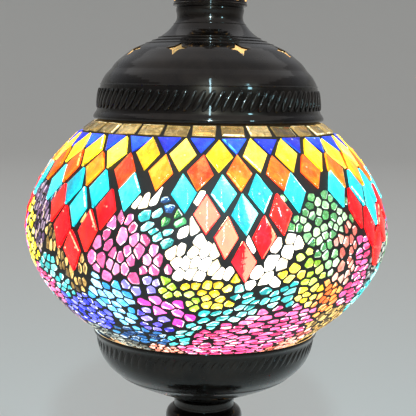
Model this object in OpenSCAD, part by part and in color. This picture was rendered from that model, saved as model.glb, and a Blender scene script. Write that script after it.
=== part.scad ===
// Mosaic glass table lamp: a blown glass globe covered in cut glass, held between a spun metal cup
// on a turned stem and a spun metal cap with a pierced gallery and a finial.
// Azimuth is measured about +Z from -Y, which is the front, towards +X.

/* [Globe] */
// Radius of the bare glass globe at its widest ring
globe_r = 123.6; // [110:0.1:150]
// Height from the widest ring to where the glass would close above
globe_up = 100.3; // [90:0.1:120]
// Height from the widest ring to where the glass would close below
globe_down = 90.7; // [84:0.1:110]
// Squareness of the globe's outline, where 2 is an ellipse
globe_n = 1.8; // [1.7:0.05:2.2]
// Wall of the blown glass
glass_wall = 3; // [2:0.1:5]
// Radius of the opening under the cap
top_open_r = 58; // [52:0.5:62]
// Radius of the opening over the cup
low_open_r = 56; // [50:0.5:60]

/* [Mosaic] */
// Thickness of the cut glass tiles
tile_t = 2.6; // [2:0.1:4]
// Adhesive under the tiles
tile_bed = 0.3; // [0.1:0.1:0.6]
// Width of a diamond tile
tile_w = 15.6; // [12:0.2:18]
// Height of a diamond tile
tile_h = 25.6; // [20:0.2:26]
// Distance along the glass from one row of diamonds to the next
row_step = 13.3; // [12:0.1:14]
// Distance along the glass from the widest ring up to the top of the blue row
top_level = 78.2; // [74:0.1:80]
// Number of pointed clusters of diamonds round the globe
cluster_count = 7; // [5:1:8]
// Columns of diamonds in each cluster
cluster_cols = 4; // [4:1:4]
// Azimuth of the first cluster
cluster_az = 10.5; // [0:0.1:50]
// Distance between diamonds in the lower rows of a cluster
cluster_pitch = 23; // [21:0.1:24]
// Number of amber tiles under the cap
rim_count = 30; // [24:1:34]
// Height of an amber tile
rim_tile_h = 9.4; // [7:0.1:10]
// Thickness of an amber tile
rim_tile_t = 2; // [1.6:0.1:2.2]
// Black grout between tiles
grout_gap = 2.6; // [1:0.1:4]
// Thickness of the grout over the glass
grout_t = 1.9; // [1:0.1:2.4]

/* [Spun metal] */
// Wall of the spun and pressed shells
sheet_t = 1.2; // [0.8:0.1:2]
// Radius of the cap's rim where it sits on the globe
cap_rim_r = 79.3; // [76:0.1:84]
// Radius of the cup's rim where the globe sits in it
cup_rim_r = 78.6; // [76:0.1:84]
// Height of the cap from its rim to its top flange
cap_h = 77; // [72:0.5:90]
// Depth of the cup from its rim to its foot
cup_h = 58; // [54:0.5:70]
// Radius of the cap's neck
neck_r = 23.2; // [22:0.1:26]
// Number of star-shaped holes in the cap and in the cup
star_count = 8; // [6:1:8]
// Distance from the middle of a star to its points
star_r = 8; // [5:0.1:8.5]
// Number of arched vents in the gallery
vent_count = 12; // [8:1:14]
// Height of the pierced gallery
gallery_h = 20; // [17:0.5:30]

/* [Base and stem] */
// Radius of the foot of the base
base_r = 86; // [80:0.5:100]
// Height of the base shell
base_h = 52; // [46:0.5:70]
// Height of the bead that stands on the base
foot_bead_h = 15; // [12:0.5:20]
// Height of the baluster
baluster_h = 77; // [70:0.5:120]
// Height of the bead under the cup
top_bead_h = 19; // [15:0.5:24]
// Thickness of the flat collars between the turned pieces
collar_h = 5; // [4:0.5:8]
// Thickness of the felt under the base
felt_t = 2; // [2:0.5:4]
// Thickness of the bottom plate
plate_t = 1.5; // [1:0.1:2.5]
// Thickness of the iron weight's disc
weight_h = 14; // [13:0.5:18]

/* [Fittings] */
// Outer radius of the hollow threaded tube
tube_r = 5; // [4.5:0.5:6]
// Bore radius of the threaded tube
tube_bore_r = 3.8; // [3.2:0.1:4]
// Running clearance round the threaded tube and the tie rod
fit_gap = 0.3; // [0.2:0.05:0.5]
// Gap between pieces of different bodies that rest on each other
seat_gap = 0.3; // [0.2:0.05:0.5]
// Height of the lamp holder above the floor of the cup
holder_gap = 11; // [10:0.5:24]
// Radius of the lamp holder's skirt
holder_r = 19.5; // [19:0.1:21]
// Radius of the bulb's screw cap
bulb_cap_r = 13.1; // [13:0.05:13.2]
// Largest radius of the bulb
bulb_r = 30; // [22:0.5:34]
// Length of the glass of the bulb
bulb_glass_h = 84; // [75:0.5:90]
// Radius of the tie rod that holds the cap's pieces together
rod_r = 4; // [3:0.5:5]
// Bore radius of the cord bushing
cord_bore_r = 3.6; // [3:0.1:4]
// Radius of the finial's knob
finial_r = 11; // [9:0.5:14]
// Height of the finial
finial_h = 44; // [36:0.5:60]

/* [Hidden] */
$fn = 72;

METAL = [0.17, 0.14, 0.11];
BRASS = [0.72, 0.55, 0.25];
STEEL = [0.7, 0.7, 0.7];
eps = 0.02;

// Heights above the table, from the felt up
plate_z = felt_t;
weight_z = plate_z + plate_t;
stem_z = felt_t + base_h;
lower_collar_z = stem_z + foot_bead_h;
baluster_z = lower_collar_z + collar_h;
upper_collar_z = baluster_z + baluster_h;
top_bead_z = upper_collar_z + collar_h;
cup_z = top_bead_z + top_bead_h;
cup_rim_z = cup_z + cup_h;

// The whole mosaic as a skin over the glass
skin_t = tile_bed + tile_t;

// Height over the widest ring at which an outline has radius r, and the radius at height z
function outline_z(r, a, h) = h * pow(1 - pow(r / a, globe_n), 1 / globe_n);
function outline_r(z, a, h) = a * pow(1 - pow(min(abs(z) / h, 1), globe_n), 1 / globe_n);
function skin_r(z, t) = outline_r(z, globe_r + t, (z > 0 ? globe_up : globe_down) + t);

// The inner edge of each rim is what meets the mosaic
cup_seat_r = cup_rim_r - sheet_t;
cap_seat_r = cap_rim_r - sheet_t;
globe_z = cup_rim_z + seat_gap + outline_z(cup_seat_r, globe_r + skin_t, globe_down + skin_t);
cap_z = globe_z + seat_gap + outline_z(cap_seat_r, globe_r + skin_t, globe_up + skin_t);
cap_top_z = cap_z + cap_h;
crown_z = cap_top_z + gallery_h;
crown_h = 17;
collar_top_z = crown_z + crown_h;
crown_collar_h = 4;
finial_z = collar_top_z + crown_collar_h;

// A smooth curve through control points, as Catmull-Rom spans with the given number of steps
function spline_point(a, b, c, d, t) =
    0.5 * (2 * b + (c - a) * t + (2 * a - 5 * b + 4 * c - d) * t * t + (3 * b - a - 3 * c + d) * t * t * t);
function smooth(p, steps = 4) = concat(
    [for (i = [0 : len(p) - 2], k = [0 : steps - 1])
        spline_point(p[max(i - 1, 0)], p[i], p[i + 1], p[min(i + 2, len(p) - 1)], k / steps)],
    [p[len(p) - 1]]);

// The same line moved to its left by w, used for the inside of a spun wall
function left_of(v) = [-v[1], v[0]] / norm(v);
function inset(p, w) = [for (i = [0 : len(p) - 1])
    p[i] + w * left_of(p[min(i + 1, len(p) - 1)] - p[max(i - 1, 0)])];
function reversed(p) = [for (i = [len(p) - 1 : -1 : 0]) p[i]];
function raised(p, z) = [for (q = p) [q[0], q[1] + z]];

// The points of a line kept between two heights
function between(p, low, high) = [for (q = p) [q[0], min(max(q[1], low), high)]];

// A spun shell of wall w whose outer outline runs upwards. Its inside ends level with its outside.
module spun(outline, w) {
    inside = between(inset(outline, w), outline[0][1], outline[len(outline) - 1][1]);
    rotate_extrude() polygon(concat(outline, reversed(inside)));
}

// A flat ring
module ring(z, h, r_out, r_in) {
    translate([0, 0, z]) difference() {
        cylinder(r = r_out, h = h);
        translate([0, 0, -1]) cylinder(r = r_in, h = h + 2);
    }
}

module hex_nut(z, h, flats, bore_r) {
    translate([0, 0, z]) difference() {
        cylinder(d = flats / cos(30), h = h, $fn = 6);
        translate([0, 0, -1]) cylinder(r = bore_r, h = h + 2);
    }
}

module at_azimuth(az) {
    rotate([0, 0, az]) children();
}

// ---------- Base ----------
bore_fit_r = tube_r + fit_gap;
flange_r = 17;
felt_in_r = base_r - 26;
screw_pcd_r = 46;
nut_well_r = 12;
nut_h = 6;
washer_h = 1.6;
well_h = weight_h + 1;
channel_w = 9;
channel_h = 6;
block_y = 52;
weight_r = base_r - 20;

// Outline of the base shell from the floor up, with its height stretched to base_h
base_outline = smooth([
    [base_r, 0], [base_r + 0.4, 1.6], [base_r - 0.6, 3.4], [base_r - 2.6, 5.4], [base_r - 3.2, 9],
    [base_r - 4, 15], [base_r - 7, 21], [base_r - 12, 24.6], [base_r - 14.4, 26], [base_r - 20, 29],
    [base_r - 31, 32.6], [base_r - 43, 36], [base_r - 53, 39.6], [base_r - 60, 43.6],
    [flange_r + 5, base_h - 3], [flange_r + 4, base_h]]);

module base_felt() {
    color("#2b2b2e") ring(0, felt_t, base_r - 1.5, felt_in_r);
}

module base_plate() {
    color(STEEL) difference() {
        ring(plate_z, plate_t, base_r - 2, 8);
        for (i = [0 : 2]) at_azimuth(i * 120)
            translate([0, -screw_pcd_r, 0]) cylinder(r = 2.2, h = 10);
    }
}

module plate_screws() {
    head_h = felt_t - 0.5;
    color(STEEL) for (i = [0 : 2]) at_azimuth(i * 120) translate([0, -screw_pcd_r, 0]) {
        translate([0, 0, plate_z - head_h]) cylinder(r = 3.8, h = head_h);
        translate([0, 0, plate_z - eps]) cylinder(r = 2, h = plate_t + 8);
    }
}

// Iron ballast: a disc with a boss that reaches up to the base shell's flange
module base_weight() {
    boss_top = felt_t + base_h - sheet_t;
    color("#3c3c3e") difference() {
        union() {
            translate([0, 0, weight_z]) cylinder(r = weight_r, h = weight_h);
            translate([0, 0, weight_z]) cylinder(r = flange_r, h = boss_top - weight_z);
        }
        translate([0, 0, weight_z - 1]) cylinder(r = nut_well_r, h = well_h + 1);
        translate([0, 0, 0]) cylinder(r = bore_fit_r, h = boss_top + 1);
        translate([-channel_w / 2, 0, weight_z - 1]) cube([channel_w, weight_r + 1, channel_h + 1]);
        translate([-14, block_y - 18, weight_z - 1]) cube([28, weight_r, weight_h + 2]);
        for (i = [0 : 2]) at_azimuth(i * 120)
            translate([0, -screw_pcd_r, weight_z - 1]) cylinder(r = 2.05, h = 10);
    }
}

cord_z = felt_t + 12;
cord_wall_y = base_r - 3.5;

module base_shell() {
    color(METAL) difference() {
        union() {
            translate([0, 0, felt_t]) spun(base_outline, sheet_t);
            ring(felt_t + base_h - sheet_t, sheet_t, flange_r + 4, bore_fit_r);
        }
        translate([0, cord_wall_y - 12, cord_z]) rotate([-90, 0, 0]) cylinder(r = 5, h = 30);
    }
}

// Insulating bushing in the back of the base, through which the cord passes
module cord_bushing() {
    color("#1c1c1c") translate([0, cord_wall_y, cord_z]) rotate([-90, 0, 0]) difference() {
        union() {
            translate([0, 0, -6.2]) cylinder(r = 4.9, h = 10.6);
            translate([0, 0, 1.6]) cylinder(r = 7.5, h = 2.8);
            translate([0, 0, -6.2]) cylinder(r = 5.9, h = 2.2);
        }
        translate([0, 0, -8]) cylinder(r = cord_bore_r, h = 16);
    }
}

// ---------- Wiring held in the base ----------
block_z = weight_z + 0.4;
module terminal_block() {
    color("#e8e4da") difference() {
        translate([-12, block_y - 8, block_z]) cube([24, 16, 11]);
        for (x = [-8, 0, 8]) {
            translate([x, block_y - 9, block_z + 3.6]) rotate([-90, 0, 0]) cylinder(r = 1.6, h = 18);
            translate([x, block_y - 4, block_z + 5.5]) cylinder(r = 2.1, h = 8);
            translate([x, block_y + 4, block_z + 5.5]) cylinder(r = 2.1, h = 8);
        }
    }
}

module terminal_screws() {
    color(BRASS) for (x = [-8, 0, 8], y = [-4, 4]) difference() {
        translate([x, block_y + y, block_z + 6]) cylinder(r = 1.9, h = 3.4);
        translate([x - 2, block_y + y - 0.3, block_z + 8.6]) cube([4, 0.6, 1]);
    }
}

// A round wire swept along points, as one closed skin of eight sides
function wire_dir(p, i) = let (d = p[min(i + 1, len(p) - 1)] - p[max(i - 1, 0)]) d / norm(d);
function wire_ring(c, d, r) =
    let (u = cross(d, [1, 0, 0]) / norm(cross(d, [1, 0, 0])), v = cross(d, u))
    [for (k = [0 : 7]) c + r * (cos(k * 45) * u + sin(k * 45) * v)];
module wire(p, r) {
    n = len(p);
    polyhedron(
        points = [for (i = [0 : n - 1]) each wire_ring(p[i], wire_dir(p, i), r)],
        faces = concat(
            [[for (k = [7 : -1 : 0]) k]],
            [for (i = [0 : n - 2], k = [0 : 7])
                [i * 8 + k, i * 8 + (k + 1) % 8, (i + 1) * 8 + (k + 1) % 8, (i + 1) * 8 + k]],
            [[for (k = [0 : 7]) (n - 1) * 8 + k]]));
}

// The two insulated leads from the terminal block up the tube to the lamp holder
holder_z = cup_z + holder_gap;
insert_z = holder_z + 18;
module inner_leads() {
    low_z = block_z + 3.6;
    for (side = [-1, 1]) color(side < 0 ? "#7a4a2a" : "#2f5fb0") wire([
        [side * 8, block_y - 8.4, low_z], [side * 7, block_y - 11, low_z], [side * 3, block_y - 16, low_z - 1.4],
        [side * 1.9, 30, weight_z + 2.4], [side * 1.9, 12, weight_z + 2.4], [side * 1.9, 4, weight_z + 2.8],
        [side * 1.9, 1, weight_z + 4.4], [side * 1.9, 0, weight_z + 8], [side * 1.9, 0, stem_z],
        [side * 1.9, 0, cup_z], [side * 1.9, 0, holder_z + 6], [side * 2.6, 0, holder_z + 10],
        [side * 5.5, 0, insert_z - 3.4], [side * 7, 0, insert_z - 0.6]], 1.2);
}

// ---------- Threaded tube and its fasteners ----------
tube_low_z = weight_z + well_h - washer_h - nut_h - 1;
tube_high_z = holder_z + 7;
module threaded_tube() {
    color(STEEL) ring(tube_low_z, tube_high_z - tube_low_z, tube_r, tube_bore_r);
}
module base_washer() {
    color(STEEL) ring(weight_z + well_h - washer_h, washer_h, nut_well_r - 1, tube_r + 0.05);
}
module base_nut() {
    color(STEEL) hex_nut(weight_z + well_h - washer_h - nut_h, nut_h, 16, tube_r + 0.02);
}

// ---------- Stem ----------
// Every turned piece is hollow, with a flat disc at each end that the tube passes through
module turned(z, h, outline) {
    translate([0, 0, z]) {
        spun(smooth(outline), sheet_t);
        ring(0, sheet_t, outline[0][0] - eps, bore_fit_r);
        ring(h - sheet_t, sheet_t, outline[len(outline) - 1][0] - eps, bore_fit_r);
    }
}

module foot_bead() {
    h = foot_bead_h;
    color(METAL) turned(stem_z, h, [[17, 0], [20.5, 0.12 * h], [23.6, 0.36 * h], [24, 0.5 * h],
        [23.2, 0.66 * h], [20, 0.87 * h], [16, h]]);
}
module lower_collar() {
    color(METAL) difference() {
        translate([0, 0, lower_collar_z]) rotate_extrude() polygon(concat([[0, 0]],
            smooth([[15.5, 0], [17.4, 0.3 * collar_h], [17.4, 0.55 * collar_h], [15, collar_h]]),
            [[0, collar_h]]));
        translate([0, 0, lower_collar_z - 1]) cylinder(r = bore_fit_r, h = collar_h + 2);
    }
}
module baluster() {
    h = baluster_h;
    color(METAL) turned(baluster_z, h, [[13, 0], [14.4, 0.05 * h], [19.5, 0.14 * h], [22.8, 0.26 * h],
        [22, 0.38 * h], [17.4, 0.52 * h], [13, 0.68 * h], [11.2, 0.82 * h], [12, 0.93 * h],
        [13.6, 0.985 * h], [13.6, h]]);
}
module upper_collar() {
    color(METAL) difference() {
        translate([0, 0, upper_collar_z]) rotate_extrude() polygon(concat([[0, 0]],
            smooth([[14.5, 0], [17, 0.4 * collar_h], [18.4, 0.7 * collar_h], [18, collar_h]]),
            [[0, collar_h]]));
        translate([0, 0, upper_collar_z - 1]) cylinder(r = bore_fit_r, h = collar_h + 2);
    }
}
module top_bead() {
    h = top_bead_h;
    color(METAL) turned(top_bead_z, h, [[17.6, 0], [21.6, 0.1 * h], [26, 0.36 * h], [27.3, 0.6 * h],
        [26, 0.84 * h], [22.4, h]]);
}

// ---------- Cup and cap ----------
// Both outlines run from the rim to the neck, as [radius, distance from the rim]
cup_step = cup_rim_r - 17.6;
cup_outline_down = smooth([
    [cup_rim_r, 0], [cup_rim_r + 0.2, 1.8], [cup_rim_r - 1.4, 4.4], [cup_rim_r - 2.6, 8.6], [cup_rim_r - 3.4, 14],
    [cup_rim_r - 5.8, 19.8], [cup_rim_r - 10.2, 25.8], [cup_rim_r - 16.2, 31], [cup_step, 32.4],
    [cup_step - 5.5, 35.6], [cup_step - 13.5, 39.4], [cup_step - 21.5, cup_h - 15.2],
    [cup_step - 29, cup_h - 12.3], [neck_r + 2.6, cup_h - 9.4], [neck_r - 0.8, cup_h - 6.4],
    [neck_r - 1.9, cup_h - 3], [neck_r - 1.8, cup_h - 1], [neck_r - 1.8, cup_h]]);
cup_outline = [for (p = reversed(cup_outline_down)) [p[0], cup_h - p[1]]];

cap_step = cap_rim_r - 11.8;
cap_outline = smooth([
    [cap_rim_r, 0], [cap_rim_r + 0.3, 1.4], [cap_rim_r - 0.5, 3], [cap_rim_r - 2, 5.4], [cap_rim_r - 2.8, 9.4],
    [cap_rim_r - 3.1, 15], [cap_rim_r - 4.7, 23], [cap_rim_r - 7.6, 28.8], [cap_rim_r - 10.6, 32.3],
    [cap_step, 33.6], [cap_step - 3.2, 37.8], [cap_step - 8, 42], [cap_step - 15.3, cap_h - 29.6],
    [cap_step - 23.4, cap_h - 26], [cap_step - 31.4, cap_h - 22.5], [neck_r + 6.4, cap_h - 18],
    [neck_r + 2.2, cap_h - 13.4], [neck_r, cap_h - 10], [neck_r - 0.5, cap_h - 6.8],
    [neck_r + 0.2, cap_h - 3], [neck_r - 0.2, cap_h - 1], [neck_r - 0.2, cap_h]]);

// Four-pointed star with hollow sides
function star_points(r) = [for (k = [0 : 7]) (k % 2 == 0 ? r : 0.42 * r) * [cos(k * 45), sin(k * 45)]];

// A row of stars cut square to a slope, at radius r and height z, tipped outwards by tilt
module star_cutters(r, z, tilt, az) {
    for (i = [0 : star_count - 1]) at_azimuth(az + i * 360 / star_count)
        translate([0, -r, z]) rotate([tilt, 0, 0])
            translate([0, 0, -6]) linear_extrude(12) polygon(star_points(star_r));
}

cup_star_r = cup_step - 16.6;
cup_star_z = cup_z + 18.4;
module cup_shell() {
    color(METAL) difference() {
        union() {
            translate([0, 0, cup_z]) spun(cup_outline, sheet_t);
            ring(cup_z, sheet_t, neck_r - 2, bore_fit_r);
        }
        star_cutters(cup_star_r, cup_star_z, -24, 15);
    }
}

cap_star_r = cap_step - 14.5;
cap_star_z = cap_top_z - 29.8;
module cap_shell() {
    color(METAL) difference() {
        union() {
            translate([0, 0, cap_z]) spun(cap_outline, sheet_t);
            ring(cap_top_z - sheet_t, sheet_t, neck_r - 0.8, 14);
        }
        star_cutters(cap_star_r, cap_star_z, 30, 21.5);
    }
}

// Soft rings fixed inside the rims, each with a slope that clears the mosaic by seat_gap
module cup_gasket() {
    low = cup_rim_z - 5;
    high = cup_rim_z - 2.4;
    color("#202020") rotate_extrude() polygon([[cup_rim_r - 3.2, low], [cup_rim_r - 1.8, high],
        [skin_r(high - globe_z, skin_t) + seat_gap, high], [skin_r(low - globe_z, skin_t) + seat_gap, low]]);
}
module cap_gasket() {
    low = cap_z + 2.4;
    high = cap_z + 5.4;
    color("#202020") rotate_extrude() polygon([[cap_rim_r - 1.9, low], [cap_rim_r - 3.7, high],
        [skin_r(high - globe_z, skin_t) + seat_gap, high], [skin_r(low - globe_z, skin_t) + seat_gap, low]]);
}

module cup_washer() {
    color(STEEL) ring(cup_z + sheet_t, washer_h, 12, tube_r + 0.05);
}
module cup_nut() {
    color(STEEL) hex_nut(cup_z + sheet_t + washer_h, nut_h, 16, tube_r + 0.02);
}

// ---------- Lamp holder ----------
thread_wall = 0.6;
thread_in_r = bulb_cap_r + fit_gap;
insert_h = 8;
thread_h = 24;
module holder_cap() {
    color("#141414") difference() {
        translate([0, 0, holder_z]) rotate_extrude() polygon(concat(
            smooth([[0, 0], [8, 0], [9, 3], [12, 7], [holder_r - 2, 13], [holder_r - 1.6, 18]], 3),
            [[holder_r - 4.2, 18], [holder_r - 4.8, 14], [10, 10], [0, 10]]));
        translate([0, 0, holder_z - 1]) cylinder(r = tube_r + 0.02, h = 20);
    }
}
module holder_insert() {
    color("#efece4") difference() {
        translate([0, 0, insert_z]) cylinder(r = holder_r - 3, h = insert_h);
        for (x = [-7, 7]) translate([x, 0, insert_z - 1]) cylinder(r = 1.5, h = 4);
        for (y = [-11, 11]) translate([0, y, insert_z - 1]) cylinder(r = 1.7, h = 6);
    }
}
module holder_screws() {
    color(BRASS) for (y = [-11, 11]) {
        translate([0, y, insert_z - 1.6]) cylinder(r = 2.6, h = 1.6);
        translate([0, y, insert_z - eps]) cylinder(r = 1.6, h = 4.5);
    }
}
module holder_contact() {
    color(BRASS) {
        translate([-3, -8, insert_z + insert_h]) cube([6, 12, 0.5]);
        translate([-3, -4, insert_z + insert_h + 0.5 - eps]) cube([6, 8, 1.1]);
    }
}
module holder_thread() {
    color(BRASS) ring(insert_z + insert_h, thread_h, thread_in_r + thread_wall, thread_in_r);
}
module holder_skirt() {
    color("#141414") ring(insert_z + eps, insert_h + thread_h + 3, holder_r, holder_r - 2.6);
}
module holder_ring() {
    color("#141414") translate([0, 0, insert_z + 14]) difference() {
        union() {
            cylinder(r = holder_r + 5, h = 3);
            cylinder(r = holder_r + 2.4, h = 8);
        }
        translate([0, 0, -1]) cylinder(r = holder_r + 0.05, h = 12);
    }
}

// ---------- Bulb ----------
bulb_z = insert_z + insert_h + 1.6 + seat_gap;
bulb_cap_z = bulb_z + 4;
bulb_cap_h = 22;
bulb_glass_z = bulb_cap_z + bulb_cap_h - 1.5;
module bulb_contact() {
    color("#6a6a70") {
        translate([0, 0, bulb_z]) cylinder(r = 4.6, h = 1.2);
        translate([0, 0, bulb_z + 1.2 - eps]) cylinder(r1 = 5.4, r2 = bulb_cap_r - 1.6, h = 2.8 + eps);
    }
}
module bulb_cap() {
    color(STEEL) difference() {
        translate([0, 0, bulb_cap_z]) union() {
            cylinder(r1 = bulb_cap_r - 1.6, r2 = bulb_cap_r, h = 2);
            translate([0, 0, 2]) cylinder(r = bulb_cap_r, h = bulb_cap_h - 2);
        }
        translate([0, 0, bulb_cap_z + 1.2]) cylinder(r = bulb_cap_r - 1, h = bulb_cap_h);
    }
}
module bulb_glass() {
    h = bulb_glass_h;
    neck = bulb_cap_r - 1.2;
    outline = smooth([[neck, 0], [neck + 0.1, 0.06 * h], [neck + 2.4, 0.16 * h], [0.72 * bulb_r, 0.33 * h],
        [0.93 * bulb_r, 0.48 * h], [bulb_r, 0.64 * h], [0.92 * bulb_r, 0.82 * h], [0.64 * bulb_r, 0.94 * h],
        [0.3 * bulb_r, 0.99 * h], [1.2, h]]);
    color("#fff6dc", 0.4) translate([0, 0, bulb_glass_z]) {
        spun(outline, 0.8);
        translate([0, 0, h - 0.8]) cylinder(r = 1.6, h = 0.8);
    }
}
module bulb_stem() {
    color("#dfe6e8", 0.6) {
        translate([0, 0, bulb_glass_z - 6]) cylinder(r1 = 9, r2 = 4.5, h = 12);
        translate([0, 0, bulb_glass_z + 6 - eps]) cylinder(r = 2.2, h = 0.3 * bulb_glass_h);
    }
}
filament_h = 0.42 * bulb_glass_h;
module bulb_filaments() {
    color("#ffd36a") for (i = [0 : 3]) at_azimuth(45 + i * 90)
        translate([0, -4.6, bulb_glass_z + 6 + 0.24 * bulb_glass_h]) rotate([8, 0, 0]) cylinder(r = 1.3, h = filament_h);
}

// ---------- Globe ----------
low_open_z = -outline_z(low_open_r, globe_r, globe_down);
top_open_z = outline_z(top_open_r, globe_r, globe_up);
outline_steps = 44;

// Points on an outline that stands t off the glass, from height a to height b
function skin_line(t, a, b, n = outline_steps) = [for (i = [0 : n]) let (z = a + (b - a) * i / n) [skin_r(z, t), z]];
module skin(t0, t1, a, b, n = outline_steps) {
    translate([0, 0, globe_z]) rotate_extrude()
        polygon(concat(skin_line(t1, a, b, n), reversed(skin_line(t0, a, b, n))));
}

// Each opening is cut square to the glass, so its inner edge is a little smaller
open_lip = 0.8;
module globe_glass() {
    inner_low_z = -outline_z(low_open_r - open_lip, globe_r - glass_wall, globe_down - glass_wall);
    inner_top_z = outline_z(top_open_r - open_lip, globe_r - glass_wall, globe_up - glass_wall);
    color("#f4f8ff", 0.3) translate([0, 0, globe_z]) rotate_extrude() polygon(concat(
        skin_line(0, low_open_z, top_open_z),
        reversed(skin_line(-glass_wall, inner_low_z, inner_top_z))));
}

// Height on the glass at distance s along it from the widest ring, found in steps of half a millimetre
walk_step = 0.5;
function slope(z) = let (d = 0.01) (skin_r(abs(z) + d, 0) - skin_r(abs(z), 0)) / d;
function walk(s, z = 0) = s < walk_step ? z : walk(s - walk_step, z + walk_step / sqrt(1 + pow(slope(z), 2)));
function level_s(k) = top_level - k * row_step;
function level_z(k) = sign(level_s(k)) * walk(abs(level_s(k)));
// How far the glass faces up at height z
function tilt_at(z) = let (d = 0.05) atan2(skin_r(z - d, 0) - skin_r(z + d, 0), 2 * d);

// Puts children on the glass at an azimuth and height, with +Z along the glass and -Y out of it
module on_glass(az, z) {
    at_azimuth(az) translate([0, -skin_r(z, 0), globe_z + z]) rotate([-tilt_at(z), 0, 0]) children();
}
module flat_tile(points, t = tile_t) {
    translate([0, -tile_bed, 0]) rotate([90, 0, 0]) linear_extrude(t) polygon(points);
}
module diamond() {
    flat_tile([[-tile_w / 2, 0], [0, -tile_h / 2], [tile_w / 2, 0], [0, tile_h / 2]]);
}

column_count = cluster_count * cluster_cols;
column_step = 360 / column_count;

// A full row of diamonds centred on level k. shift moves it by part of a column
module full_row(k, shift) {
    for (i = [0 : column_count - 1]) on_glass(cluster_az + (i + shift) * column_step, level_z(k)) diamond();
}
// Diamonds at the given places in each cluster, in steps of cluster_pitch from its middle
module cluster_row(k, places) {
    z = level_z(k);
    for (c = [0 : cluster_count - 1], p = places)
        on_glass(cluster_az + c * 360 / cluster_count + p * cluster_pitch / skin_r(z, 0) * 180 / PI, z) diamond();
}

module amber_tiles() {
    z = level_z(0) + 0.5 * rim_tile_h * cos(tilt_at(level_z(0))) + 0.6;
    w = 2 * PI * skin_r(z, 0) / rim_count - grout_gap;
    color("#c9a24a") for (i = [0 : rim_count - 1]) on_glass(cluster_az + i * 360 / rim_count, z)
        flat_tile([[-w / 2, -rim_tile_h / 2], [w / 2, -rim_tile_h / 2], [w / 2, rim_tile_h / 2],
            [-w / 2, rim_tile_h / 2]], rim_tile_t);
}
module blue_tiles() {
    z = level_z(0.5);
    h = row_step - 0.8;
    color("#1b3fd6") for (i = [0 : column_count - 1]) on_glass(cluster_az + i * column_step, z)
        flat_tile([[-tile_w / 2, h / 2], [0, -h / 2], [tile_w / 2, h / 2]]);
}
module yellow_tiles() {
    color("#ffe12a") full_row(1, 0.5);
}
module orange_tiles() {
    color("#ff7a14") full_row(2, 0);
}
module turquoise_tiles() {
    color("#2fd3e0") {
        cluster_row(3, [-1.5, -0.5, 0.5, 1.5]);
        cluster_row(4, [0]);
    }
}
module red_tiles() {
    color("#e8161f") {
        cluster_row(4, [-1, 1]);
        cluster_row(5, [-0.5, 0.5]);
        cluster_row(6, [0]);
    }
}

// The part of the mosaic that the diamonds fill: a band at the top and a wedge down each cluster
skin_gap = 0.1;
zone_z = level_z(3);
wedge_tip_z = level_z(7) - 3;
rim_edge_z = outline_z(cap_rim_r - 6, globe_r, globe_up);
cup_edge_z = -outline_z(cup_rim_r - 8, globe_r, globe_down);
module wedges(margin) {
    half = 2.1 * cluster_pitch + margin;
    for (c = [0 : cluster_count - 1]) at_azimuth(cluster_az + c * 360 / cluster_count)
        translate([0, -60, globe_z]) rotate([90, 0, 0]) linear_extrude(100)
            polygon([[-half, zone_z + 1], [0, wedge_tip_z - margin], [half, zone_z + 1]]);
}
module tile_grout() {
    color("#16130f") {
        skin(skin_gap, grout_t, zone_z, rim_edge_z, 20);
        intersection() {
            skin(skin_gap, grout_t, wedge_tip_z - 2, zone_z - eps, 18);
            wedges(0);
        }
    }
}
module crushed_glass() {
    color("#d060a0") difference() {
        skin(skin_gap, skin_t - 0.4, cup_edge_z, zone_z - eps, 24);
        wedges(0.2);
    }
}

// ---------- Cap fittings ----------
// A bent steel strip with three arms, whose feet go down inside the glass opening to centre the cap
strip_t = 1.2;
spider_z = cap_top_z - sheet_t;
foot_r = top_open_r - open_lip - 0.8;
module cap_spider() {
    arm = [[6, spider_z], [neck_r - 6.4, spider_z], [neck_r - 3.4, spider_z - 3],
        [neck_r - 3.4, cap_top_z - 15], [foot_r - 6, cap_top_z - 39], [foot_r, cap_top_z - 50],
        [foot_r, cap_z - 4], [foot_r - 2.4, cap_z - 8]];
    color(STEEL) difference() {
        union() {
            translate([0, 0, spider_z - strip_t]) cylinder(r = 11, h = strip_t);
            for (i = [0 : 2]) at_azimuth(i * 120) rotate([90, 0, 0]) translate([0, 0, -6])
                linear_extrude(12) polygon(concat(arm, reversed(inset(arm, -strip_t))));
        }
        translate([0, 0, spider_z - 5]) cylinder(r = rod_r + fit_gap, h = 10);
    }
}

rod_top_z = finial_z + 13.5;
rod_nut_z = spider_z - strip_t - washer_h - nut_h;
module tie_rod() {
    color(STEEL) translate([0, 0, rod_nut_z - 4]) cylinder(r = rod_r, h = rod_top_z - rod_nut_z + 4);
}
module rod_washer() {
    color(STEEL) ring(rod_nut_z + nut_h, washer_h, 9, rod_r + 0.05);
}
module rod_nut() {
    color(STEEL) hex_nut(rod_nut_z, nut_h, 13, rod_r + 0.02);
}

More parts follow.
